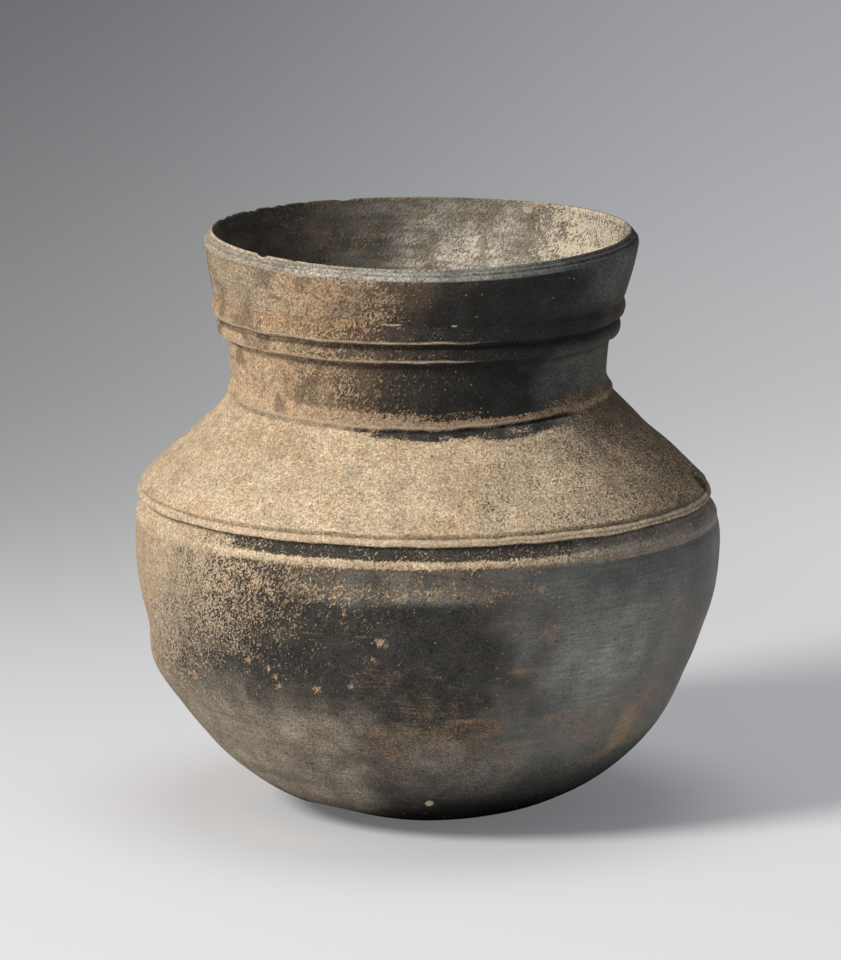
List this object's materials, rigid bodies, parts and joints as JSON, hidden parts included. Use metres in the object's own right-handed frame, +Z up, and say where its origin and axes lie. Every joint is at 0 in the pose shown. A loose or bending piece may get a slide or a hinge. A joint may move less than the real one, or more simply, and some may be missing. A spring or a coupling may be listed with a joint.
{
  "type": "long-necked pottery jar",
  "caption": "Round-bellied fired clay jar with a raised double band at the shoulder, two undercut cordons round the neck and a flaring open mouth.",
  "frame": {"origin": "centre of the flat foot that the jar stands on", "axes": "+Z up through the mouth; -Y is the side seen first, +X to its right"},
  "size_m": [0.1831, 0.1841, 0.1832],
  "materials": {
    "foot_clay": "matt, smoke-blackened fired clay",
    "body_clay": "burnished dark grey-brown fired clay with tan patches",
    "shoulder_clay": "matt sandy tan fired clay with earth crust",
    "band_clay": "smoothed tan fired clay",
    "neck_clay": "matt fired clay, tan to charcoal",
    "lip_clay": "wet-smoothed grey fired clay"
  },
  "bodies": {
    "root": {"base_pad": "foot_clay", "lower_body": "body_clay", "upper_body": "body_clay", "shoulder_cordon": "band_clay", "shoulder": "shoulder_clay", "neck_luting_coil": "neck_clay", "neck_wall": "neck_clay", "neck_cordon_lower": "band_clay", "neck_cordon_upper": "band_clay", "mouth_wall": "neck_clay", "lip": "lip_clay"}
  },
  "joints": []
}
